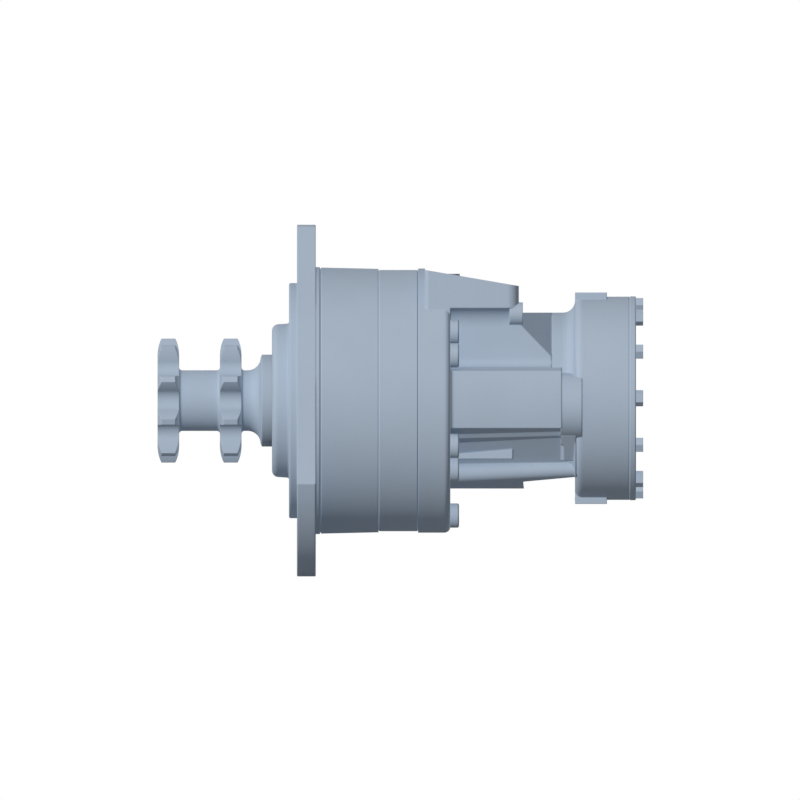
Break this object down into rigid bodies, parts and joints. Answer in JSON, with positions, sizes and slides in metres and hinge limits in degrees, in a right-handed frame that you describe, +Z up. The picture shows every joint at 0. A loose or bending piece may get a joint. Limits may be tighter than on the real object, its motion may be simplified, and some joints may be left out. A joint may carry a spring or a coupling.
{
  "type": "hydrostatic motor",
  "caption": "Radial-piston hydrostatic wheel motor with a double sprocket shaft, round pilot flange, bolted case with a top port block and a rear disc brake.",
  "frame": {"origin": "on the motor axis, in the plane of the flange's mounting face, where the pilot meets it", "axes": "+X along the motor axis from the sprockets toward the brake, +Z up through the port block, -Y toward the side boss"},
  "size_m": [0.4128, 0.281, 0.299],
  "materials": {
    "case_paint": "satin",
    "bearing_steel": "satin",
    "block_iron": "satin",
    "bronze": "satin",
    "seal_rubber": "matt"
  },
  "bodies": {
    "housing": {"front_housing": "case_paint", "cam_ring": "case_paint", "rear_housing": "case_paint", "brake_cover": "case_paint", "case_screws": "case_paint", "cover_screws": "case_paint", "shaft_seal": "seal_rubber", "front_case_seal": "seal_rubber", "rear_case_seal": "seal_rubber", "front_bearing_cup": "bearing_steel", "rear_bearing_cup": "bearing_steel", "distributor": "block_iron", "distributor_spring": "bearing_steel", "distributor_seals": "seal_rubber", "distributor_pins": "bearing_steel", "steel_plates": "bearing_steel", "cover_seal": "seal_rubber", "brake_spring": "bearing_steel"},
    "rotor": {"sprocket_shaft": "case_paint", "front_bearing_cone": "bearing_steel", "rear_bearing_cone": "bearing_steel", "bearing_nut": "block_iron", "cylinder_block": "block_iron", "brake_hub": "bearing_steel", "friction_discs": "bronze"},
    "front_roller_set": {"front_bearing_rollers": "bearing_steel", "front_bearing_cage": "bronze"},
    "rear_roller_set": {"rear_bearing_rollers": "bearing_steel", "rear_bearing_cage": "bronze"},
    "brake_piston_group": {"brake_piston": "bearing_steel", "brake_piston_seals": "seal_rubber"},
    "piston_group_1": {"piston_1": "bearing_steel", "piston_ring_1": "seal_rubber"},
    "roller_1": {"cam_roller_1": "bearing_steel"},
    "piston_group_2": {"piston_2": "bearing_steel", "piston_ring_2": "seal_rubber"},
    "roller_2": {"cam_roller_2": "bearing_steel"},
    "piston_group_3": {"piston_3": "bearing_steel", "piston_ring_3": "seal_rubber"},
    "roller_3": {"cam_roller_3": "bearing_steel"},
    "piston_group_4": {"piston_4": "bearing_steel", "piston_ring_4": "seal_rubber"},
    "roller_4": {"cam_roller_4": "bearing_steel"},
    "piston_group_5": {"piston_5": "bearing_steel", "piston_ring_5": "seal_rubber"},
    "roller_5": {"cam_roller_5": "bearing_steel"},
    "piston_group_6": {"piston_6": "bearing_steel", "piston_ring_6": "seal_rubber"},
    "roller_6": {"cam_roller_6": "bearing_steel"},
    "piston_group_7": {"piston_7": "bearing_steel", "piston_ring_7": "seal_rubber"},
    "roller_7": {"cam_roller_7": "bearing_steel"},
    "piston_group_8": {"piston_8": "bearing_steel", "piston_ring_8": "seal_rubber"},
    "roller_8": {"cam_roller_8": "bearing_steel"}
  },
  "joints": [
    {"name": "shaft_spin", "type": "hinge", "parent": "housing", "child": "rotor", "pos_m": [0, 0, 0], "axis": [1, 0, 0], "continuous": true},
    {"name": "front_rollers_spin", "type": "hinge", "parent": "housing", "child": "front_roller_set", "pos_m": [0, 0, 0], "axis": [1, 0, 0], "continuous": true},
    {"name": "rear_rollers_spin", "type": "hinge", "parent": "housing", "child": "rear_roller_set", "pos_m": [0, 0, 0], "axis": [1, 0, 0], "continuous": true},
    {"name": "brake_release", "type": "slide", "parent": "housing", "child": "brake_piston_group", "axis": [1, 0, 0], "range_m": [0, 0.002], "stiffness_N_per_m": 20000, "springref_m": -0.01, "deforming": ["brake_spring"]},
    {"name": "piston_slide_1", "type": "slide", "parent": "rotor", "child": "piston_group_1", "axis": [0, -0.9914, 0.1305], "range_m": [0, 0.00617]},
    {"name": "roller_spin_1", "type": "hinge", "parent": "piston_group_1", "child": "roller_1", "pos_m": [0.0861, -0.0689, 0.00907], "axis": [1, 0, 0], "continuous": true},
    {"name": "piston_slide_2", "type": "slide", "parent": "rotor", "child": "piston_group_2", "axis": [0, -0.6088, 0.7934], "range_m": [0, 0.00617]},
    {"name": "roller_spin_2", "type": "hinge", "parent": "piston_group_2", "child": "roller_2", "pos_m": [0.0861, -0.04231, 0.05514], "axis": [1, 0, 0], "continuous": true},
    {"name": "piston_slide_3", "type": "slide", "parent": "rotor", "child": "piston_group_3", "axis": [0, 0.1305, 0.9914], "range_m": [0, 0.00123]},
    {"name": "roller_spin_3", "type": "hinge", "parent": "piston_group_3", "child": "roller_3", "pos_m": [0.0861, 0.00907, 0.0689], "axis": [1, 0, 0], "continuous": true},
    {"name": "piston_slide_4", "type": "slide", "parent": "rotor", "child": "piston_group_4", "axis": [0, 0.7934, 0.6088], "range_m": [0, 0.00123]},
    {"name": "roller_spin_4", "type": "hinge", "parent": "piston_group_4", "child": "roller_4", "pos_m": [0.0861, 0.05514, 0.04231], "axis": [1, 0, 0], "continuous": true},
    {"name": "piston_slide_5", "type": "slide", "parent": "rotor", "child": "piston_group_5", "axis": [0, 0.9914, -0.1305], "range_m": [0, 0.00617]},
    {"name": "roller_spin_5", "type": "hinge", "parent": "piston_group_5", "child": "roller_5", "pos_m": [0.0861, 0.0689, -0.00907], "axis": [1, 0, 0], "continuous": true},
    {"name": "piston_slide_6", "type": "slide", "parent": "rotor", "child": "piston_group_6", "axis": [0, 0.6088, -0.7934], "range_m": [0, 0.00617]},
    {"name": "roller_spin_6", "type": "hinge", "parent": "piston_group_6", "child": "roller_6", "pos_m": [0.0861, 0.04231, -0.05514], "axis": [1, 0, 0], "continuous": true},
    {"name": "piston_slide_7", "type": "slide", "parent": "rotor", "child": "piston_group_7", "axis": [0, -0.1305, -0.9914], "range_m": [0, 0.00123]},
    {"name": "roller_spin_7", "type": "hinge", "parent": "piston_group_7", "child": "roller_7", "pos_m": [0.0861, -0.00907, -0.0689], "axis": [1, 0, 0], "continuous": true},
    {"name": "piston_slide_8", "type": "slide", "parent": "rotor", "child": "piston_group_8", "axis": [0, -0.7934, -0.6088], "range_m": [0, 0.00123]},
    {"name": "roller_spin_8", "type": "hinge", "parent": "piston_group_8", "child": "roller_8", "pos_m": [0.0861, -0.05514, -0.04231], "axis": [1, 0, 0], "continuous": true}
  ],
  "couplings": [
    {"joint": "front_rollers_spin", "follows": "shaft_spin", "ratio": 0.4688},
    {"joint": "rear_rollers_spin", "follows": "shaft_spin", "ratio": 0.46}
  ]
}
